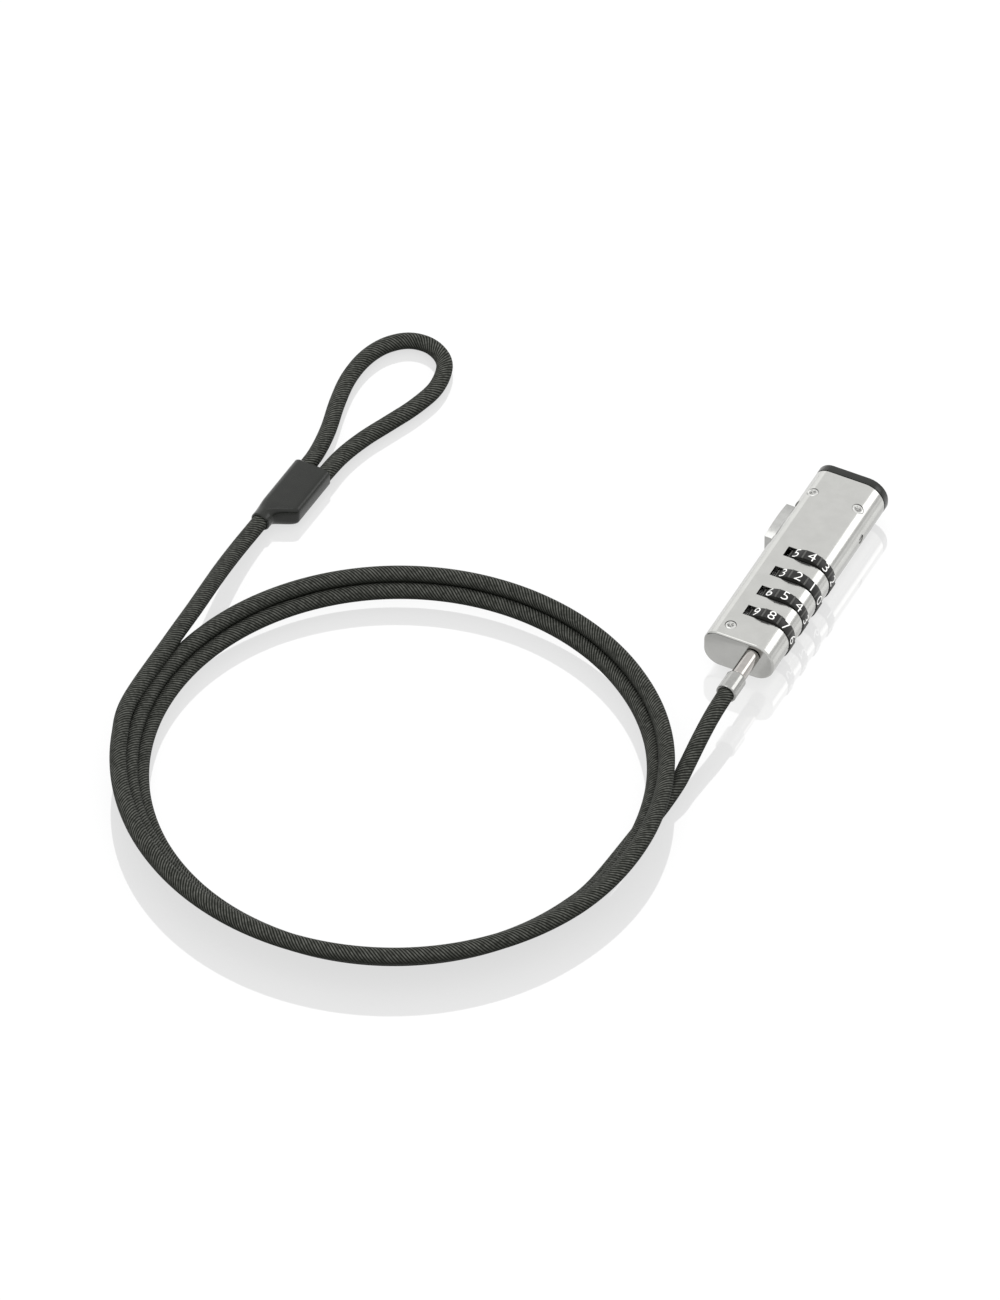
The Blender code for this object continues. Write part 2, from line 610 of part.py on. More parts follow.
def cord_tube(name, route, step):
    """A plain tube for a stretch of cable, as a curve with a round bevel and filled caps."""
    curve = bpy.data.curves.new(name, "CURVE")
    curve.dimensions = "3D"
    curve.bevel_depth = CABLE_RADIUS * MM
    curve.bevel_resolution = 3
    curve.use_fill_caps = True
    points = smooth_route(route, step)
    spline = curve.splines.new("POLY")
    spline.points.add(len(points) - 1)
    for target, point in zip(spline.points, points):
        target.co = (*(point * MM), 1.0)
    curve.materials.append(material(name, CABLE_JACKET))
    made = bpy.data.objects.new(name, curve)
    bpy.context.scene.collection.objects.link(made)
    return made


def make_coil():
    """The coil's outer shape: a turned ring that leans outwards, as turns stacked on each other do."""
    low = (COIL_RADIUS, CABLE_RADIUS)
    high = (COIL_RADIUS + COIL_GROWTH * COIL_TURNS, CABLE_RADIUS + COIL_RISE * COIL_TURNS)
    lean = atan2(high[1] - low[1], high[0] - low[0])
    profile = []
    for centre, start in ((high, lean - pi / 2), (low, lean + pi / 2)):
        for step in range(5):
            a = start + pi * step / 4
            profile.append((centre[0] + CABLE_RADIUS * cos(a), centre[1] + CABLE_RADIUS * sin(a)))
    lowest = min(z for _, z in profile)
    shape = bmesh.new()
    loops = []
    segments = 64
    for step in range(segments):
        a = 2 * pi * step / segments
        loops.append([shape.verts.new((COIL_CENTRE[0] + r * cos(a), COIL_CENTRE[1] + r * sin(a), z - lowest))
                      for r, z in profile])
    for one, two in zip(loops, loops[1:] + loops[:1]):
        for k in range(len(profile)):
            n = (k + 1) % len(profile)
            shape.faces.new((one[k], one[n], two[n], two[k]))
    bmesh.ops.transform(shape, matrix=Matrix.Translation(ORIGIN), verts=shape.verts)
    return place("cable_coil", shape, CABLE_JACKET)


def make_loop_sleeve():
    """Moulded sleeve that clamps the cable back onto itself to form the eye."""
    left, narrow, wide, length = -3.25, 2.5, 8.3, 25.0
    step = [(narrow, 0.0), (narrow, 2.6), (narrow + 0.5, 3.9), (narrow + 1.8, 4.8), (wide - 1.8, 5.6),
            (wide - 0.5, 6.5), (wide, 7.8)]
    outline = [(left, 0.0)] + step + [(wide, length), (left, length)]
    shape = plate(outline, *LOOP_SLEEVE_Z)
    edges = [e for e in shape.edges if abs(e.verts[0].co.z - e.verts[1].co.z) < 1e-6]
    keep = [e for e in edges if abs(e.verts[0].co.y - e.verts[1].co.y) > 1e-6]
    bmesh.ops.bevel(shape, geom=keep, offset=LOOP_SLEEVE_EDGE, segments=4, affect="EDGES", profile=0.5)
    turn = Matrix.Rotation(radians(LOOP_SLEEVE_TURN), 4, "Z")
    spot = Matrix.Translation(Vector((*LOOP_SLEEVE_AT, 0.0)) + ORIGIN)
    bmesh.ops.transform(shape, matrix=spot @ turn, verts=shape.verts)
    return place("loop_sleeve", shape, BLACK_PLASTIC)


def main():
    for item in list(bpy.data.objects):
        bpy.data.objects.remove(item, do_unlink=True)
    make_housing()
    make_nose_cap()
    make_latch_block()
    make_pins()
    make_setting_screw()
    make_dials()
    make_spindle()
    make_plates()
    make_detent_spring()
    make_spindle_spring()
    make_spreader()
    make_button()
    make_button_spring()
    make_claws()
    make_swivel()
    cord_tube("cable_lead", LEAD_ROUTE, LONG_STEP)
    cord_tube("cable_tail", TAIL_ROUTE, LONG_STEP)
    cord_tube("cable_eye", EYE_ROUTE, EYE_STEP)
    make_coil()
    make_loop_sleeve()


main()
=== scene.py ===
"""Looks of the laptop cable lock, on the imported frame.

Lock sizes are in millimetres in the lock's own frame, as in the CAD: +Y to the nose, +X to the dials,
+Z up. Cable points are in millimetres in the row frame.
"""
from math import cos, pi, radians, sin

import bmesh
import bpy
from mathutils import Matrix, Vector


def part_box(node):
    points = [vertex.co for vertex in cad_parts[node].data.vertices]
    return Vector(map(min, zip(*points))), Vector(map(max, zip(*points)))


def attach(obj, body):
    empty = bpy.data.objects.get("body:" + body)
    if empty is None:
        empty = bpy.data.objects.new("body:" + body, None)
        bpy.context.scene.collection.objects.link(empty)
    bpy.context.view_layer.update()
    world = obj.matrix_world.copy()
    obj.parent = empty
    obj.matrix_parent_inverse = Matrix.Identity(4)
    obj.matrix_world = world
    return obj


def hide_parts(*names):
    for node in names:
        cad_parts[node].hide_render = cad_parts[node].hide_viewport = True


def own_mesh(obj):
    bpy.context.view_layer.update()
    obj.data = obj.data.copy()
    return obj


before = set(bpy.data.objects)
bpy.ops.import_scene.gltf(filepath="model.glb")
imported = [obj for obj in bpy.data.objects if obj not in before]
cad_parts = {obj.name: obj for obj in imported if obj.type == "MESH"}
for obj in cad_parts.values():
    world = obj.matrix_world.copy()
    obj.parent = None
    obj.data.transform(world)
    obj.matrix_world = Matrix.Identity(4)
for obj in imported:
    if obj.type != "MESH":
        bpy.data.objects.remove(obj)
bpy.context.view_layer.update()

MM = 0.001

# Housing: corner radii run from the upper right one, counter-clockwise as seen from the nose
WIDTH, HEIGHT, LENGTH, WALL = 21.5, 12.4, 71.4, 1.1
CORNERS = (6.0, 4.5, 5.0, 5.8)
CHAMBER_CORNERS = (6.0, 1.6, 1.6, 5.8)
EDGE = 0.6
SUPPORT = 0.15
NOSE_Y = 74.35
TAIL_WALL = 2.5
STEM_CHAMBER_LEFT, STEM_CHAMBER_END = -0.5, 6.2
DIAL_CHAMBER_LEFT, DIAL_CHAMBER_Y = -6.6, (6.1, 42.2)
NOSE_CHAMBER_START = 42.0
MID_HEIGHT = HEIGHT / 2
GAP = 0.35
CLAW_OPENING = (3.25, 1.55)

# Dials: angles are in degrees round the spindle
DIAL_Y = (12.0, 20.58, 29.16, 37.74)
DIAL_RADIUS, DIAL_GROOVE, DIAL_THICKNESS, DIAL_BORE = 8.0, 0.16, 3.4, 4.65
DIAL_EDGE = ((0.0, -0.22), (0.08, -0.06), (0.24, 0.0))
SLOT_CLEARANCE = 0.25
RIDGE_TOP, RIDGE_SLOPE = 0.9, 0.9
DIAL_X, SPINDLE_HEIGHT = 3.2, 5.9
DIGIT_ANGLE, CELL_ANGLE = 80.0, 36.0
TOP_DIGITS = (8, 5, 2, 4)
DIGIT_HEIGHT, DIGIT_STRETCH, DIGIT_THINNING = 3.1, 1.08, 0.012
PAINT_ABOVE, PAINT_BELOW = 0.035, 0.05
SLOT_LEFT = -3.6

# Button, pins and screw
BUTTON_Y = (43.8, 58.1)
BUTTON_Z = (3.5, 9.0)
BUTTON_LEFT, BUTTON_INNER = -13.1, -8.0
BUTTON_CROWN, BUTTON_SLOPE, BUTTON_TOP = 0.8, (-10.5, -8.6), 10.9
BUTTON_EARS = ((-9.3, 4.0), (-8.1, 8.6), 1.4)
BUTTON_SECTIONS = 12
PIN_RADIUS, PIN_CLEARANCE = 1.6, 0.05
STAR_LENGTH, STAR_HALF, STAR_DEPTH = 1.0, 0.08, 0.12
# Each pin's x, y, bottom, top and the slope of its head across the lock
PINS = {
    "nose_pin_left": (-7.0, 62.1, 3.2, 12.3, 0.17),
    "nose_pin_right": (7.0, 62.1, 3.2, 11.9, -0.4),
    "tail_pin": (-4.65, 4.7, 2.35, 12.36, 0.0),
}
SCREW_RADIUS, SCREW_Y, SCREW_HEIGHT = 1.2, 56.5, 6.6
SCREW_START, SCREW_SLOT_HALF, SCREW_SLOT_DEPTH = 6.95, 0.25, 0.5

# Springs, each from its fixed end to the end that moves
SPRING_WIRE = 0.25
BUTTON_SPRING_X, BUTTON_SPRING_Y, BUTTON_SPRING_RADIUS = (-2.5, -7.7), 46.6, 1.35
SPINDLE_SPRING_Y, SPINDLE_SPRING_RADIUS = (44.9, 49.9), 2.35

# Claws
CLAW_THICKNESS, CLAW_TRAVEL, CLAW_TIP_Y = 2.4, 0.9, 77.55
CLAW_MIDDLE = (2.25, 70.0)
WEDGE_Y, WEDGE_HALF = (62.0, 63.2), 1.7

# Swivel
STEM_X, STEM_HEIGHT = 4.4, 8.7
STEM_RADIUS, STEM_LENGTH, NECK_RADIUS, NECK_END = 2.3, 10.0, 1.5, 4.1
CLIP_GROOVE, GROOVE_RADIUS = (2.75, 3.45), 1.0
FERRULE_RADIUS, FERRULE_LENGTH, FERRULE_BORE = 3.0, 6.8, 2.45

# Cable: the coil's turns run clockwise from COIL_ZERO, in degrees from +X, and COIL_RISE is per turn
CABLE_RADIUS = 2.35
COIL_CENTRE = (-65.6, -118.3)
COIL_RADIUS, COIL_GROWTH, COIL_RISE = 68.75, 3.1, 3.5
COIL_START_TURN, COIL_END_TURN = 0.032, 2.532
COIL_ZERO = 11.4
HUMP_MIDDLE, HUMP_HALF, HUMP_LIFT = 15.0, 40.0, 1.6
STRANDS_AROUND = 12
STRAND_SPACING = 1.0
CABLE_STEP = 1.25

# The cable's middle line from the ferrule to the coil, from the coil to the sleeve, and round the eye
LEAD_ROUTE = (
    (5.35, -55.2, 10.78), (5.35, -64.0, 10.0), (5.45, -72.0, 8.3), (5.8, -80.5, 6.3),
    (6.1, -87.6, 5.0), (5.2, -97.0, 3.0), (4.0, -107.0, 2.4),
)
TAIL_ROUTE = (
    (-141.4, -105.2, 11.0), (-142.1, -90.6, 9.5), (-143.0, -80.0, 7.9), (-143.9, -69.5, 6.1),
    (-144.4, -58.5, 4.4), (-144.2, -46.7, 3.45), (-143.6, -34.0, 3.35),
)
EYE_ROUTE = (
    (-142.6, -20.8, 3.25), (-142.8, -13.0, 2.7), (-144.2, -3.6, 2.4), (-146.8, 7.1, 2.35),
    (-148.4, 17.2, 2.35), (-147.9, 26.6, 2.35), (-145.0, 34.1, 2.35), (-139.6, 38.9, 2.35),
    (-132.7, 39.2, 2.35), (-126.7, 34.6, 2.35), (-124.6, 25.3, 2.35), (-126.5, 15.7, 2.35),
    (-130.0, 6.5, 2.35), (-133.5, -2.4, 2.4), (-135.8, -11.6, 2.7), (-136.6, -21.1, 3.25),
    (-137.4, -32.8, 3.35),
)

# Loop sleeve, in its own frame: +Y to the eye, the narrow end at the origin
SLEEVE_AT, SLEEVE_TURN = (-143.8, -46.3), -3.0
SLEEVE_LENGTH, SLEEVE_Z = 25.0, (0.4, 6.4)
SLEEVE_LEFT, SLEEVE_NARROW, SLEEVE_WIDE = -3.25, 2.5, 8.3
SLEEVE_STEP = (2.4, 7.4)
COLLAR_WALL, COLLAR_DEPTH = 0.4, 1.5
LIP_DEPTH, LIP_LENGTH = 0.3, 0.5
SLEEVE_SECTIONS = 60

housing_low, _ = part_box("housing")
ORIGIN = Vector((housing_low[0] + WIDTH / 2 * MM, housing_low[1], housing_low[2]))


# ---------------------------------------------------------------- materials

class Look:
    """A node material being built around one Principled shader."""

    def __init__(self, name, colour, roughness, metallic=0.0, **sockets):
        self.material = bpy.data.materials.new(name)
        self.material.use_nodes = True
        self.nodes = self.material.node_tree.nodes
        self.links = self.material.node_tree.links
        self.shader = self.nodes["Principled BSDF"]
        self.set("Base Color", (*colour, 1.0))
        self.set("Roughness", roughness)
        self.set("Metallic", metallic)
        for socket, value in sockets.items():
            self.set(socket.replace("_", " "), value)
        self.material.diffuse_color = (*colour, 1.0)

    def set(self, socket, value):
        self.shader.inputs[socket].default_value = value

    def node(self, kind, **inputs):
        made = self.nodes.new(kind)
        for key, value in inputs.items():
            if isinstance(value, bpy.types.NodeSocket):
                self.links.new(value, made.inputs[key])
            else:
                made.inputs[key].default_value = value
        return made

    def maths(self, operation, a, b=0.0, c=0.0):
        made = self.nodes.new("ShaderNodeMath")
        made.operation = operation
        for socket, value in zip(made.inputs, (a, b, c)):
            if isinstance(value, bpy.types.NodeSocket):
                self.links.new(value, socket)
            else:
                socket.default_value = value
        return made.outputs[0]

    def noise(self, scale, detail=3.0, stretch=(1.0, 1.0, 1.0)):
        place = self.node("ShaderNodeTexCoord").outputs["Object"]
        mapping = self.node("ShaderNodeMapping", Vector=place)
        mapping.inputs["Scale"].default_value = stretch
        made = self.node("ShaderNodeTexNoise", Vector=mapping.outputs[0], Scale=scale, Detail=detail)
        return made.outputs["Fac"]

    def spread(self, value, low, high, start=0.35, end=0.65):
        made = self.node("ShaderNodeMapRange", Value=value)
        made.inputs["From Min"].default_value = start
        made.inputs["From Max"].default_value = end
        made.inputs["To Min"].default_value = low
        made.inputs["To Max"].default_value = high
        return made.outputs[0]

    def blend_colours(self, factor, dark, light):
        ramp = self.nodes.new("ShaderNodeValToRGB")
        ramp.color_ramp.elements[0].color = (*dark, 1.0)
        ramp.color_ramp.elements[1].color = (*light, 1.0)
        self.links.new(factor, ramp.inputs[0])
        return ramp.outputs[0]

    def vary_colour(self, factor, dark, light):
        self.links.new(self.blend_colours(factor, dark, light), self.shader.inputs["Base Color"])

    def vary_roughness(self, factor, low, high):
        self.links.new(self.spread(factor, low, high), self.shader.inputs["Roughness"])

    def bump(self, height, strength, distance):
        made = self.node("ShaderNodeBump", Height=height, Strength=strength, Distance=distance)
        self.links.new(made.outputs[0], self.shader.inputs["Normal"])


def satin_chrome():
    look = Look("satin_chrome", (0.42, 0.42, 0.405), 0.2, 1.0)
    cloud = look.noise(260.0, 2.0)
    look.vary_colour(look.spread(cloud, 0.0, 1.0), (0.41, 0.41, 0.395), (0.43, 0.43, 0.415))
    grain = look.noise(2600.0, 2.0, (1.0, 0.12, 1.0))
    look.vary_roughness(grain, 0.17, 0.22)
    look.bump(grain, 0.02, 0.00002)
    return look.material


def polished_metal(name, colour, roughness):
    look = Look(name, colour, roughness, 1.0)
    cloud = look.noise(900.0, 4.0)
    light = tuple(min(1.0, c * 1.04) for c in colour)
    look.vary_colour(look.spread(cloud, 0.0, 1.0), tuple(c * 0.95 for c in colour), light)
    look.vary_roughness(cloud, roughness, roughness + 0.05)
    look.bump(look.noise(3200.0, 2.0), 0.03, 0.00002)
    return look.material


def machined_metal(name, colour, roughness):
    look = Look(name, colour, roughness, 1.0)
    lines = look.noise(1500.0, 3.0, (1.0, 9.0, 1.0))
    look.vary_colour(look.spread(lines, 0.0, 1.0), tuple(c * 0.86 for c in colour), colour)
    look.vary_roughness(lines, roughness, roughness + 0.12)
    look.bump(lines, 0.15, 0.00003)
    return look.material


def moulded_plastic(name, colour, roughness, shine=0.35):
    look = Look(name, colour, roughness, Specular_IOR_Level=shine)
    cloud = look.noise(320.0, 3.0)
    dark, light = (tuple(c * share for c in colour) for share in (0.85, 1.15))
    look.vary_colour(look.spread(cloud, 0.0, 1.0), dark, light)
    grain = look.noise(5200.0, 3.0)
    look.vary_roughness(grain, roughness - 0.04, roughness + 0.06)
    look.bump(grain, 0.3, 0.00002)
    return look.material


def digit_paint():
    look = Look("digit_paint", (0.9, 0.9, 0.88), 0.5)
    grain = look.noise(4200.0, 3.0)
    look.vary_colour(look.spread(grain, 0.0, 1.0), (0.86, 0.86, 0.84), (0.94, 0.94, 0.92))
    look.bump(grain, 0.2, 0.00002)
    return look.material


def jacketed_rope():
    """Dark jacket over twisted steel wire: lay lines run round the cable by its own UV lengths.

    The jacket's colour carries painted shade: lighter on top, darker on its sides and underneath.
    """
    look = Look("cable_jacket", (0.04, 0.042, 0.038), 0.5, Specular_IOR_Level=0.02)
    split = look.node("ShaderNodeSeparateXYZ", Vector=look.node("ShaderNodeTexCoord").outputs["UV"])
    along, around = split.outputs[0], split.outputs[1]
    twist = look.maths("MULTIPLY", along, -10.0 / STRAND_SPACING)
    wires = look.maths("MULTIPLY_ADD", around, float(STRANDS_AROUND), twist)
    wave = look.maths("SINE", look.maths("MULTIPLY", wires, 2 * pi))
    wire = look.spread(wave, 0.0, 1.0, -1.0, 1.0)
    uneven = look.noise(900.0, 4.0)
    wear_and_highlight = look.spread(uneven, 0.3, 1.0, 0.3, 0.7)
    shade = look.maths("MULTIPLY", look.maths("POWER", wire, 1.4), wear_and_highlight)
    normal = look.node("ShaderNodeTexCoord").outputs["Normal"]
    upwards = look.node("ShaderNodeSeparateXYZ", Vector=normal).outputs[2]
    # Painted shade: the colour darkens as the surface turns to the sides and underneath.
    painted_underside_shade = look.spread(upwards, 0.05, 1.0, -0.35, 0.7)
    look.vary_colour(look.maths("MULTIPLY", shade, painted_underside_shade), (0.008, 0.009, 0.007), (0.13, 0.132, 0.12))
    look.bump(wire, 0.25, 0.0001)
    return look.material


def floor_look():
    look = Look("studio_floor", (0.12, 0.12, 0.12), 0.03, IOR=2.2, Emission_Color=(1.0, 1.0, 1.0, 1.0),
                Emission_Strength=0.68)
    look.vary_colour(look.noise(8.0, 1.0), (0.11, 0.11, 0.11), (0.13, 0.13, 0.13))
    return look.material


# ---------------------------------------------------------------- shapes

def circle(radius, centre, segments=48):
    steps = (2 * pi * k / segments for k in range(segments))
    return [(centre[0] + radius * cos(a), centre[1] + radius * sin(a)) for a in steps]


def rounded_outline(inset=0.0, left=-WIDTH / 2, radii=CORNERS, segments=16):
    """The housing's outline across the lock, as (x, z), inset evenly."""
    right, top, bottom = WIDTH / 2 - inset, HEIGHT - inset, inset
    left += inset
    points = []
    for k, radius in enumerate(radii):
        r = max(radius - inset, 0.3)
        cx = right - r if k in (0, 3) else left + r
        cz = top - r if k in (0, 1) else bottom + r
        for step in range(segments + 1):
            a = pi / 2 * (k + step / segments)
            points.append((cx + r * cos(a), cz + r * sin(a)))
    return points


def add_skin(shape, outlines):
    """A closed skin over outlines that all have the same number of points."""
    loops = [[shape.verts.new(point) for point in outline] for outline in outlines]
    count = len(loops[0])
    for low, high in zip(loops, loops[1:]):
        for k in range(count):
            n = (k + 1) % count
            shape.faces.new((low[k], low[n], high[n], high[k]))
    shape.faces.new(loops[0])
    shape.faces.new(reversed(loops[-1]))


def add_loft(shape, sections):
    add_skin(shape, [[(x, y, z) for x, z in outline] for y, outline in sections])


def loft(*sections):
    """A piece built along the lock from (y, outline) pairs, each outline as (x, z)."""
    shape = bmesh.new()
    add_loft(shape, sections)
    return shape


def boxes(*spans):
    """Boxes, each from its lowest to its highest corner."""
    shape = bmesh.new()
    for low, high in spans:
        corners = [(low[0], low[2]), (high[0], low[2]), (high[0], high[2]), (low[0], high[2])]
        add_loft(shape, [(low[1], corners), (high[1], corners)])
    return shape


def rod(radius, centre, low, high, segments=48):
    ring = circle(radius, centre, segments)
    return loft((low, ring), (high, ring))


def turned(steps, centre, segments=64):
    """A piece turned about an axis along the lock, from (y, radius) pairs."""
    return loft(*((y, circle(radius, centre, segments)) for y, radius in steps))


def stack(levels):
    """A piece built upwards from (z, outline) pairs, each outline as (x, y)."""
    shape = bmesh.new()
    add_skin(shape, [[(x, y, z) for x, y in outline] for z, outline in levels])
    return shape


def upright(x, y, steps, segments=48):
    """A round upright piece from (z, radius) pairs."""
    return stack([(z, circle(radius, (x, y), segments)) for z, radius in steps])


def star(x, y, length, half, turn):
    """Outline of a six-armed star with straight arms, turned by degrees."""
    points = []
    for arm in range(6):
        a = radians(turn + 60.0 * arm)
        for along, across in ((length, -half), (length, half)):
            points.append((x + along * cos(a) - across * sin(a), y + along * sin(a) + across * cos(a)))
        points.append((x + 2 * half * cos(a + pi / 6), y + 2 * half * sin(a + pi / 6)))
    return points


def crosswise(radius, low, high, y, z, segments=40):
    """A round piece across the lock, along X."""
    shape = bmesh.new()
    turn = Matrix.Rotation(pi / 2, 4, "Y")
    bmesh.ops.create_cone(
        shape, cap_ends=True, segments=segments, radius1=radius, radius2=radius, depth=high - low,
        matrix=Matrix.Translation(((low + high) / 2, y, z)) @ turn,
    )
    return shape


def make_piece(name, shape, look, body, pivot=(0.0, 0.0, 0.0), smooth=32, replaces=(),
               in_lock=True):
    """Turn a bmesh in millimetres into a piece, which rides on a body if one is named."""
    pivot = Vector(pivot)
    bmesh.ops.transform(shape, matrix=Matrix.Translation(-pivot), verts=shape.verts)
    bmesh.ops.scale(shape, vec=(MM, MM, MM), verts=shape.verts)
    bmesh.ops.recalc_face_normals(shape, faces=shape.faces)
    mesh = bpy.data.meshes.new(name)
    shape.to_mesh(mesh)
    shape.free()
    mesh.shade_smooth()
    mesh.set_sharp_from_angle(angle=radians(smooth))
    mesh.materials.append(look)
    made = bpy.data.objects.new(name, mesh)
    made.location = pivot * MM + (ORIGIN if in_lock else Vector())
    bpy.context.scene.collection.objects.link(made)
    if body:
        bpy.context.view_layer.update()
        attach(made, body)
    if replaces:
        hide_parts(*replaces)
    return made


def cutters(target, shape, operation="DIFFERENCE"):
    """Cut or join a shape in the same millimetre frame, applied at once."""
    bmesh.ops.scale(shape, vec=(MM, MM, MM), verts=shape.verts)
    bmesh.ops.recalc_face_normals(shape, faces=shape.faces)
    mesh = bpy.data.meshes.new("cutter")
    shape.to_mesh(mesh)
    shape.free()
    tool = bpy.data.objects.new("cutter", mesh)
    tool.location = ORIGIN
    bpy.context.scene.collection.objects.link(tool)
    modifier = target.modifiers.new("cut", "BOOLEAN")
    modifier.operation = operation
    modifier.solver = "EXACT"
    modifier.object = tool
    apply_modifiers(target)
    bpy.data.objects.remove(tool, do_unlink=True)


def apply_modifiers(target):
    bpy.context.view_layer.update()
    shown = target.evaluated_get(bpy.context.evaluated_depsgraph_get())
    fresh = bpy.data.meshes.new_from_object(shown)
    old = target.data
    target.modifiers.clear()
    target.data = fresh
    bpy.data.meshes.remove(old)


def soften(target, width, segments=2, angle=40):
    """Round every hard edge a little, keeping flat faces flat."""
    modifier = target.modifiers.new("soften", "BEVEL")
    modifier.width = width * MM
    modifier.segments = segments
    modifier.limit_method = "ANGLE"
    modifier.angle_limit = radians(angle)
    modifier.harden_normals = True
    modifier.use_clamp_overlap = True
    return target


def finish_look(name, look):
    """Give a carried-over CAD node its own procedural material."""
    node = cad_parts[name]
    node.data.materials.clear()
    node.data.materials.append(look)


# ---------------------------------------------------------------- cable

def smooth_line(route, step):
    """Points at an even step along a smooth curve through the route's points."""
    points = [Vector(p) for p in route]
    ends = [2 * points[0] - points[1]] + points + [2 * points[-1] - points[-2]]
    fine = []
    for a, b, c, d in zip(ends, ends[1:], ends[2:], ends[3:]):
        for t in (k / 10 for k in range(10)):
            fine.append(0.5 * (2 * b + (c - a) * t + (2 * a - 5 * b + 4 * c - d) * t ** 2
                               + (3 * b - a - 3 * c + d) * t ** 3))
    fine.append(points[-1])
    lengths = [0.0]
    for one, two in zip(fine, fine[1:]):
        lengths.append(lengths[-1] + (two - one).length)
    count = round(lengths[-1] / step)
    even, n = [], 1
    for k in range(count + 1):
        target = lengths[-1] * k / count
        while n < len(lengths) - 1 and lengths[n] < target:
            n += 1
        part = (target - lengths[n - 1]) / (lengths[n] - lengths[n - 1])
        even.append(fine[n - 1].lerp(fine[n], part))
    return even


def coil_route(per_turn=36):
    """The coil's turns, wider as they rise; the upper strands pass the first one in a long hump."""
    count = round((COIL_END_TURN - COIL_START_TURN) * per_turn)
    points = []
    for k in range(1, count):
        turn = COIL_START_TURN + (COIL_END_TURN - COIL_START_TURN) * k / count
        degrees = COIL_ZERO - 360.0 * turn
        radius = COIL_RADIUS + COIL_GROWTH * turn
        away = abs((degrees - HUMP_MIDDLE + 180.0) % 360.0 - 180.0)
        lift = 0.0
        if turn > 0.5:
            lift = HUMP_LIFT * (0.5 + 0.5 * cos(pi * min(away / HUMP_HALF, 1.0)))
        a = radians(degrees)
        points.append((COIL_CENTRE[0] + radius * cos(a), COIL_CENTRE[1] + radius * sin(a),
                       CABLE_RADIUS + COIL_RISE * turn + lift))
    return points


def cable_line():
    return smooth_line((*LEAD_ROUTE, *coil_route(), *TAIL_ROUTE, *EYE_ROUTE), CABLE_STEP)


def tube(line, radius, around):
    """A closed round tube along points, with UVs that count centimetres along it and turns round it."""
    shape = bmesh.new()
    layer = shape.loops.layers.uv.new("along_and_around")
    side = (line[1] - line[0]).cross(Vector((0.0, 0.0, 1.0))).normalized()
    loops, done = [], [0.0]
    last = len(line) - 1
    for k, point in enumerate(line):
        ahead = (line[min(k + 1, last)] - line[max(k - 1, 0)]).normalized()
        side = (side - ahead * side.dot(ahead)).normalized()
        up = ahead.cross(side)
        loops.append([shape.verts.new(point + radius * (cos(a) * side + sin(a) * up))
                      for a in (2 * pi * s / around for s in range(around))])
        if k:
            done.append(done[-1] + (point - line[k - 1]).length)
    for k in range(last):
        for s in range(around):
            n = (s + 1) % around
            face = shape.faces.new((loops[k][s], loops[k][n], loops[k + 1][n], loops[k + 1][s]))
            marks = ((k, s), (k, s + 1), (k + 1, s + 1), (k + 1, s))
            for corner, (step, turn) in zip(face.loops, marks):
                corner[layer].uv = (done[step] / 10.0, turn / around)
    shape.faces.new(loops[0])
    shape.faces.new(reversed(loops[-1]))
    return shape, done[-1]


def make_cable(look):
    line = cable_line()
    shape, length = tube(line, CABLE_RADIUS, 28)
    cable = make_piece("cable", shape, look, "cable", in_lock=False,
                       replaces=("cable_lead", "cable_coil", "cable_tail", "cable_eye"))
    return cable, [p * MM for p in line], length * MM


# ---------------------------------------------------------------- the lock's pieces

def make_housing(look):
    full = rounded_outline()
    edge = [(EDGE * (1 - sin(a)), rounded_outline(EDGE * (1 - cos(a)))) for a in
            (pi / 2 * k / 5 for k in range(5, -1, -1))]
    edge.append((EDGE + SUPPORT, full))
    housing = make_piece("housing_shell", loft(*edge, (LENGTH, full)), look, None)
    stem_chamber = rounded_outline(WALL, STEM_CHAMBER_LEFT - WALL, CHAMBER_CORNERS)
    dial_chamber = rounded_outline(WALL, DIAL_CHAMBER_LEFT - WALL, CHAMBER_CORNERS)
    nose_chamber = rounded_outline(WALL)
    cutters(housing, loft((TAIL_WALL, stem_chamber), (STEM_CHAMBER_END, stem_chamber)))
    cutters(housing, loft(*((y, dial_chamber) for y in DIAL_CHAMBER_Y)))
    cutters(housing, loft((NOSE_CHAMBER_START, nose_chamber), (LENGTH + 1.0, nose_chamber)))
    half = DIAL_THICKNESS / 2 + SLOT_CLEARANCE
    slots = (((SLOT_LEFT, y - half, -1.0), (WIDTH, y + half, HEIGHT + 1.0)) for y in DIAL_Y)
    cutters(housing, boxes(*slots))
    cutters(housing, boxes(((-WIDTH, BUTTON_Y[0] - GAP, BUTTON_Z[0] - GAP),
                            (BUTTON_INNER + 0.3, BUTTON_Y[1] + GAP, HEIGHT - WALL))))
    for name, (x, y, bottom, _, _) in PINS.items():
        low = bottom - GAP if name == "tail_pin" else MID_HEIGHT
        hole = PIN_RADIUS + PIN_CLEARANCE
        cutters(housing, upright(x, y, ((low, hole), (HEIGHT + 1.0, hole))))
    cutters(housing, rod(NECK_RADIUS + GAP, (STEM_X, STEM_HEIGHT), -1.0, TAIL_WALL + 0.5))
    cutters(housing, crosswise(SCREW_RADIUS + 0.12, 8.0, WIDTH, SCREW_Y, SCREW_HEIGHT))
    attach(housing, "lock")
    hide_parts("housing")
    return soften(housing, 0.12)


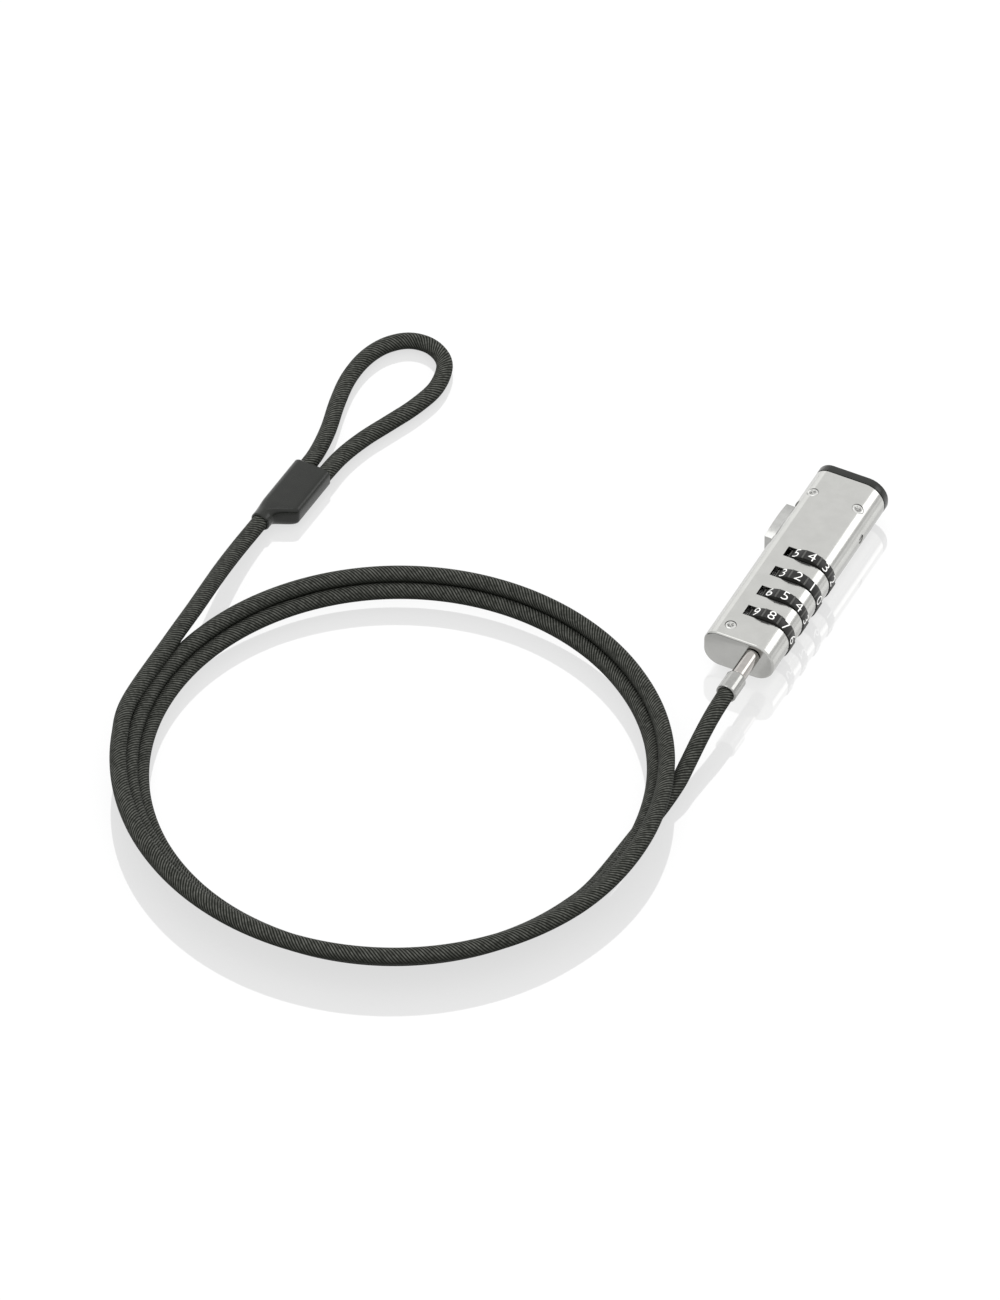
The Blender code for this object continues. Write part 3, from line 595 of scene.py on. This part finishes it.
def make_nose_cap(look):
    full, mid = rounded_outline(), rounded_outline(0.12)
    cap = make_piece("end_cap", loft((LENGTH + 0.3, mid), (LENGTH + 0.42, full), (NOSE_Y - 0.45, full),
                                     (NOSE_Y - 0.13, mid), (NOSE_Y, rounded_outline(0.45))), look, None)
    wide, high = CLAW_OPENING
    opening = boxes(((-wide, LENGTH - 1.0, MID_HEIGHT - high), (wide, NOSE_Y + 1.0, MID_HEIGHT + high)))
    cutters(cap, opening)
    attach(cap, "lock")
    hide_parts("nose_cap")
    return soften(cap, 0.1)


def dial_radius(degrees):
    """Rim radius at an angle from the middle of a ridge, with sloped ridge sides."""
    part = min(max((abs(degrees) - RIDGE_TOP) / RIDGE_SLOPE, 0.0), 1.0)
    return DIAL_RADIUS - DIAL_GROOVE * part


def make_dials(plastic, wear_and_highlight, paint):
    """Numbered dials with a ridge between each two digits, whose top has a lighter colour as a painted
    highlight.
    """
    centre = (DIAL_X, SPINDLE_HEIGHT)
    foot = RIDGE_TOP + RIDGE_SLOPE
    cell = (foot + (CELL_ANGLE - 2 * foot) * k / 10 for k in range(1, 10))
    steps = (-foot, -RIDGE_TOP, RIDGE_TOP, foot, *cell)
    angles = [(DIGIT_ANGLE + CELL_ANGLE * (digit + 0.5) + step, dial_radius(step))
              for digit in range(10) for step in steps]
    bodies = ("first_dial", "second_dial", "third_dial", "fourth_dial")
    for number, (y, body, top_digit) in enumerate(zip(DIAL_Y, bodies, TOP_DIGITS), 1):
        half = DIAL_THICKNESS / 2
        profile = [(inwards - half, drop) for inwards, drop in DIAL_EDGE]
        profile += [(half - inwards, drop) for inwards, drop in reversed(DIAL_EDGE)]
        shape = bmesh.new()
        rings = []
        for degrees, radius in angles:
            a = radians(degrees)
            ring = [(radius + drop, side) for side, drop in profile]
            ring += [(DIAL_BORE, half), (DIAL_BORE, -half)]
            rings.append([shape.verts.new((centre[0] + r * cos(a), y + side, centre[1] + r * sin(a)))
                          for r, side in ring])
        for step, (one, two) in enumerate(zip(rings, rings[1:] + rings[:1])):
            on_ridge = step % len(steps) < 3
            for k in range(len(one)):
                n = (k + 1) % len(one)
                face = shape.faces.new((one[k], one[n], two[n], two[k]))
                # Ridge tops take the second, lighter material: a painted highlight.
                face.material_index = int(on_ridge and n in range(1, len(profile)))
        pivot = (DIAL_X, y, SPINDLE_HEIGHT)
        dial = make_piece(f"dial_ring_{number}", shape, plastic, body, pivot, smooth=28,
                          replaces=(f"dial_{number}",))
        dial.data.materials.append(wear_and_highlight)
        make_piece(f"dial_digits_{number}", digit_shapes(y, top_digit), paint, body, pivot, smooth=28)


def digit_mesh(character):
    """One figure as a flat mesh centred on the origin, with its height as one unit."""
    curve = bpy.data.curves.new("figure", "FONT")
    curve.body = character
    curve.resolution_u = 4
    curve.offset = -DIGIT_THINNING
    text = bpy.data.objects.new("figure", curve)
    bpy.context.scene.collection.objects.link(text)
    bpy.context.view_layer.update()
    flat = bpy.data.meshes.new_from_object(text.evaluated_get(bpy.context.evaluated_depsgraph_get()))
    shape = bmesh.new()
    shape.from_mesh(flat)
    bpy.data.objects.remove(text, do_unlink=True)
    bpy.data.curves.remove(curve)
    bpy.data.meshes.remove(flat)
    xs = [v.co.x for v in shape.verts]
    ys = [v.co.y for v in shape.verts]
    size = max(ys) - min(ys)
    middle = Vector(((max(xs) + min(xs)) / 2, (max(ys) + min(ys)) / 2, 0.0))
    for vert in shape.verts:
        vert.co = (vert.co - middle) / size
    return shape


def digit_shapes(y, top_digit):
    """The ten figures of one dial, wrapped on its cells and standing a hair proud of them."""
    inked = bmesh.new()
    base = DIAL_RADIUS - DIAL_GROOVE
    for k in range(10):
        figure = digit_mesh(str((top_digit + k) % 10))
        bmesh.ops.scale(figure, vec=(DIGIT_HEIGHT * DIGIT_STRETCH, DIGIT_HEIGHT, 1.0), verts=figure.verts)
        for cut in range(-5, 6):
            bmesh.ops.bisect_plane(figure, geom=figure.verts[:] + figure.edges[:] + figure.faces[:],
                                   plane_co=(cut * 0.2, 0.0, 0.0), plane_no=(1.0, 0.0, 0.0))
        flat_faces = figure.faces[:]
        raised = bmesh.ops.extrude_face_region(figure, geom=flat_faces)
        top = [item for item in raised["geom"] if isinstance(item, bmesh.types.BMVert)]
        bmesh.ops.translate(figure, vec=(0.0, 0.0, 1.0), verts=top)
        middle = radians(DIGIT_ANGLE + CELL_ANGLE * k)
        for vert in figure.verts:
            radius = base + (PAINT_ABOVE if vert.co.z > 0.5 else -PAINT_BELOW)
            a = middle - vert.co.x / base
            vert.co = (DIAL_X + radius * cos(a), y + vert.co.y, SPINDLE_HEIGHT + radius * sin(a))
        mesh = bpy.data.meshes.new("figure")
        figure.to_mesh(mesh)
        figure.free()
        inked.from_mesh(mesh)
        bpy.data.meshes.remove(mesh)
    return inked


def make_button(look):
    """Side button with a lightly crowned top, and the ears that keep it in the housing."""
    bottom, top = BUTTON_Z
    start, end = BUTTON_Y
    sections = []
    for k in range(BUTTON_SECTIONS + 1):
        y = start + (end - start) * k / BUTTON_SECTIONS
        crowned = top + BUTTON_CROWN / 2 - BUTTON_CROWN * (2 * k / BUTTON_SECTIONS - 1) ** 2
        sections.append((y, [(BUTTON_LEFT, bottom), (BUTTON_INNER, bottom), (BUTTON_INNER, BUTTON_TOP),
                             (BUTTON_SLOPE[1], BUTTON_TOP), (BUTTON_SLOPE[0], crowned),
                             (BUTTON_LEFT, crowned)]))
    button = make_piece("thumb_button", loft(*sections), look, None)
    (ear_left, ear_low), (ear_right, ear_high), reach = BUTTON_EARS
    ears = boxes(((ear_left, start - reach, ear_low), (ear_right, end + reach, ear_high)))
    cutters(button, ears, "UNION")
    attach(button, "push_button")
    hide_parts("button")
    return soften(button, 0.3, 3, 30)


def make_pins(look):
    """Round pins with a rolled edge and a star pressed into the head, which slopes with the housing."""
    for name, (x, y, bottom, top, slope) in PINS.items():
        steps = ((bottom, PIN_RADIUS - 0.1), (bottom + 0.1, PIN_RADIUS), (top - 0.25, PIN_RADIUS),
                 (top - 0.12, PIN_RADIUS - 0.06), (top - 0.03, PIN_RADIUS - 0.25),
                 (top, PIN_RADIUS - 0.45))
        pin = make_piece(f"{name}_head", upright(x, y, steps), look, None, smooth=50)
        mark = star(x, y, STAR_LENGTH, STAR_HALF, 10.0)
        cutters(pin, stack([(top - STAR_DEPTH, mark), (top + 1.0, mark)]))
        for vert in pin.data.vertices:
            if vert.co.z > MID_HEIGHT * MM:
                vert.co.z += slope * (vert.co.x - x * MM)
        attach(pin, "lock")
        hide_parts(name)


def make_setting_screw(look):
    """Slotted code-setting screw, just below the right-hand face."""
    head = WIDTH / 2 - 0.25
    shank = crosswise(SCREW_RADIUS, SCREW_START, head, SCREW_Y, SCREW_HEIGHT)
    screw = make_piece("code_screw", shank, look, None)
    low, high = SCREW_HEIGHT - SCREW_SLOT_HALF, SCREW_HEIGHT + SCREW_SLOT_HALF
    cutters(screw, boxes(((head - SCREW_SLOT_DEPTH, SCREW_Y - 2.0, low), (WIDTH, SCREW_Y + 2.0, high))))
    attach(screw, "code_setting_screw")
    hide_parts("setting_screw")
    return soften(screw, 0.08)


def make_swivel(stem_look, ferrule_look):
    """Polished stem in the housing's tail and the crimped ferrule that holds the cable's end."""
    centre = (STEM_X, STEM_HEIGHT)
    start = -STEM_LENGTH
    steps = ((start, STEM_RADIUS - 0.25), (start + 0.08, STEM_RADIUS - 0.08), (start + 0.25, STEM_RADIUS),
             (start + 0.25 + SUPPORT, STEM_RADIUS), (-0.55 - SUPPORT, STEM_RADIUS), (-0.55, STEM_RADIUS),
             (-0.38, STEM_RADIUS - 0.08), (-0.3, STEM_RADIUS - 0.25), (-0.3, NECK_RADIUS),
             (CLIP_GROOVE[0], NECK_RADIUS), (CLIP_GROOVE[0], GROOVE_RADIUS),
             (CLIP_GROOVE[1], GROOVE_RADIUS), (CLIP_GROOVE[1], NECK_RADIUS), (NECK_END, NECK_RADIUS))
    make_piece("stem", turned(steps, centre), stem_look, "cable", replaces=("swivel_stem",))
    end = start - 0.3
    far = end - FERRULE_LENGTH
    steps = ((far + 0.9, FERRULE_BORE), (far, FERRULE_BORE), (far, FERRULE_RADIUS - 0.3),
             (far + 0.1, FERRULE_RADIUS - 0.1), (far + 0.32, FERRULE_RADIUS),
             (far + 0.32 + SUPPORT, FERRULE_RADIUS), (end - 0.32 - SUPPORT, FERRULE_RADIUS),
             (end - 0.32, FERRULE_RADIUS), (end - 0.1, FERRULE_RADIUS - 0.1), (end, FERRULE_RADIUS - 0.32))
    make_piece("crimped_ferrule", turned(steps, centre), ferrule_look, "cable", replaces=("ferrule",))


def make_claws(look):
    """The two hooked claws, each riding its own slide."""
    half = CLAW_THICKNESS / 2
    start, slope_end = WEDGE_Y
    inner = WEDGE_HALF + GAP
    tip = CLAW_TIP_Y
    outline = [(3.3, start), (inner, start), (inner - CLAW_TRAVEL, slope_end),
               (inner - CLAW_TRAVEL, 64.2), (1.6, 64.8), (1.6, tip - 0.35), (1.9, tip), (3.2, tip),
               (3.8, tip - 0.55), (3.8, 76.0), (2.9, 75.8), (2.9, 65.2), (3.3, 64.8)]
    for name, side in (("left", -1), ("right", 1)):
        points = [(side * x, y) for x, y in outline]
        shape = stack([(MID_HEIGHT - half, points), (MID_HEIGHT + half, points)])
        pivot = (side * CLAW_MIDDLE[0], CLAW_MIDDLE[1], MID_HEIGHT)
        claw = make_piece(f"hook_{name}", shape, look, f"{name}_claw", pivot, replaces=(f"claw_{name}",))
        soften(claw, 0.14)


def make_spring(name, look, fixed, free, radius, turns=4, per_turn=24):
    """A wound spring from its fixed end to its free end."""
    fixed, free = Vector(fixed), Vector(free)
    axis = (free - fixed).normalized()
    side = axis.orthogonal().normalized()
    up = axis.cross(side)
    inset = SPRING_WIRE / (free - fixed).length
    line = []
    for step in range(turns * per_turn + 1):
        part = inset + (1 - 2 * inset) * step / (turns * per_turn)
        a = 2 * pi * step / per_turn
        line.append(fixed.lerp(free, part) + radius * (cos(a) * side + sin(a) * up))
    shape, _ = tube(line, SPRING_WIRE, 10)
    spring = make_piece(f"{name}_wound", shape, look, "lock", replaces=(name,))
    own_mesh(spring)


def sleeve_section(right, radius, inset=0.0, segments=8):
    """A rounded oblong across the sleeve, as (x, z)."""
    r = radius - inset
    low, high = SLEEVE_Z[0] + radius, SLEEVE_Z[1] - radius
    points = []
    for k in range(4):
        cx = right - radius if k in (0, 3) else SLEEVE_LEFT + radius
        cz = high if k in (0, 1) else low
        for step in range(segments + 1):
            a = pi / 2 * (k + step / segments)
            points.append((cx + r * cos(a), cz + r * sin(a)))
    return points


def make_loop_sleeve(look):
    """Moulded sleeve: a round collar at the cable end that steps out to a wide oblong at the eye."""
    round_end = (SLEEVE_NARROW - SLEEVE_LEFT) / 2 - 0.02
    bore = sleeve_section(SLEEVE_NARROW, round_end, COLLAR_WALL)
    sections = [(COLLAR_DEPTH, bore), (0.0, bore)]
    for k in range(SLEEVE_SECTIONS + 1):
        y = SLEEVE_LENGTH * k / SLEEVE_SECTIONS
        part = min(max((y - SLEEVE_STEP[0]) / (SLEEVE_STEP[1] - SLEEVE_STEP[0]), 0.0), 1.0)
        swell = part * part * (3 - 2 * part)
        right = SLEEVE_NARROW + (SLEEVE_WIDE - SLEEVE_NARROW) * swell
        lip = LIP_DEPTH * max(0.0, 1.0 - min(y, SLEEVE_LENGTH - y) / LIP_LENGTH) ** 2
        sections.append((y, sleeve_section(right, round_end - 1.0 * swell, lip)))
    shape = loft(*sections)
    place = Matrix.Translation((*SLEEVE_AT, 0.0)) @ Matrix.Rotation(radians(SLEEVE_TURN), 4, "Z")
    bmesh.ops.transform(shape, matrix=place, verts=shape.verts)
    return make_piece("eye_sleeve", shape, look, "cable", replaces=("loop_sleeve",),
                      in_lock=False)


# ---------------------------------------------------------------- scene

def make_camera():
    """A long lens from the front right, well above the lock."""
    azimuth, elevation, distance = radians(26.4), radians(45.03), 4.89
    aim = Vector((-0.0630, -0.0585, 0.0))
    forward = Vector((-sin(azimuth) * cos(elevation), cos(azimuth) * cos(elevation), -sin(elevation)))
    data = bpy.data.cameras.new("camera")
    data.lens = 487.0
    data.sensor_width = 36.0
    data.clip_end = 20.0
    camera = bpy.data.objects.new("camera", data)
    camera.location = aim - forward * distance
    camera.rotation_euler = forward.to_track_quat("-Z", "Y").to_euler()
    bpy.context.scene.collection.objects.link(camera)
    bpy.context.scene.camera = camera


def make_panel(name, direction, long_axis, size, radiance, distance=1.3):
    """A soft panel light facing the object, with its long side along the given axis."""
    back = Vector(direction).normalized()
    side = Vector(long_axis)
    side = (side - back * side.dot(back)).normalized()
    data = bpy.data.lights.new(name, "AREA")
    data.shape = "RECTANGLE"
    data.size, data.size_y = (distance * width for width in size)
    data.energy = radiance * pi * data.size * data.size_y
    lamp = bpy.data.objects.new(name, data)
    turn = Matrix((side, back.cross(side), back)).transposed().to_4x4()
    lamp.matrix_world = Matrix.Translation(back * distance) @ turn
    bpy.context.scene.collection.objects.link(lamp)


def make_studio():
    """White surroundings, a little brighter overhead, with panels that draw the metal's highlights."""
    world = bpy.data.worlds.new("studio")
    world.use_nodes = True
    nodes, links = world.node_tree.nodes, world.node_tree.links
    split = nodes.new("ShaderNodeSeparateXYZ")
    links.new(nodes.new("ShaderNodeTexCoord").outputs["Generated"], split.inputs[0])
    rise = nodes.new("ShaderNodeMapRange")
    links.new(split.outputs[2], rise.inputs["Value"])
    for socket, value in (("From Min", 0.3), ("From Max", 0.6), ("To Min", 1.0), ("To Max", 1.4)):
        rise.inputs[socket].default_value = value
    links.new(rise.outputs[0], nodes["Background"].inputs["Strength"])
    nodes["Background"].inputs["Color"].default_value = (1.0, 1.0, 1.0, 1.0)
    bpy.context.scene.world = world
    bpy.context.scene.view_settings.view_transform = "Standard"
    shape = bmesh.new()
    bmesh.ops.create_grid(shape, x_segments=1, y_segments=1, size=4000.0)
    floor = make_piece("floor", shape, floor_look(), None, in_lock=False)
    floor.location.z = -0.0001
    make_panel("right_panel", (0.55, 0.633, 0.42), (1.0, 0.0, -1.0), (0.44, 0.3), 2.2)
    make_panel("left_panel", (-0.69, 0.633, 0.3), (0.39, 0.0, 0.92), (0.5, 0.3), 0.7)
    make_panel("top_panel", (-0.33, 0.16, 0.93), (1.0, 0.0, 0.0), (0.4, 0.5), 1.3)


def main():
    make_camera()
    chrome = satin_chrome()
    bright = polished_metal("bright_chrome", (0.40, 0.40, 0.39), 0.14)
    stem_steel = polished_metal("stem_steel", (0.34, 0.325, 0.31), 0.06)
    ferrule_steel = polished_metal("ferrule_steel", (0.30, 0.30, 0.29), 0.14)
    black = moulded_plastic("black_plastic", (0.008, 0.009, 0.007), 0.22, 0.3)
    dial_black = moulded_plastic("dial_plastic", (0.006, 0.006, 0.005), 0.34, 0.3)
    # A lighter copy of the dial plastic for the ridge tops: a painted highlight.
    ridge_highlight_plastic = moulded_plastic("ridge_painted_highlight", (0.075, 0.075, 0.07), 0.34, 0.3)
    steel = machined_metal("inner_steel", (0.45, 0.45, 0.46), 0.32)
    spring = polished_metal("spring_wire", (0.6, 0.6, 0.6), 0.2)
    brass = machined_metal("code_brass", (0.72, 0.56, 0.30), 0.3)

    cable, line, length = make_cable(jacketed_rope())
    make_swivel(stem_steel, ferrule_steel)
    sleeve = make_loop_sleeve(black)
    make_housing(chrome)
    make_nose_cap(black)
    make_dials(dial_black, ridge_highlight_plastic, digit_paint())
    make_button(bright)
    make_pins(polished_metal("pin_metal", (0.52, 0.52, 0.505), 0.16))
    make_setting_screw(bright)
    make_claws(bright)
    fixed, free = ((x, BUTTON_SPRING_Y, MID_HEIGHT) for x in BUTTON_SPRING_X)
    make_spring("button_spring", spring, fixed, free, BUTTON_SPRING_RADIUS)
    fixed, free = ((DIAL_X, y, SPINDLE_HEIGHT) for y in SPINDLE_SPRING_Y)
    make_spring("spindle_spring", spring, fixed, free, SPINDLE_SPRING_RADIUS)
    inner_looks = {
        bright: ("spindle",),
        steel: ("latch_block", "spreader", "rear_plate", "front_plate"),
        spring: ("detent_spring", "claw_spring_left", "claw_spring_right", "stem_clip"),
        brass: ("code_sleeve_1", "code_sleeve_2", "code_sleeve_3", "code_sleeve_4"),
    }
    for look, names in inner_looks.items():
        for name in names:
            finish_look(name, look)
    make_studio()


main()
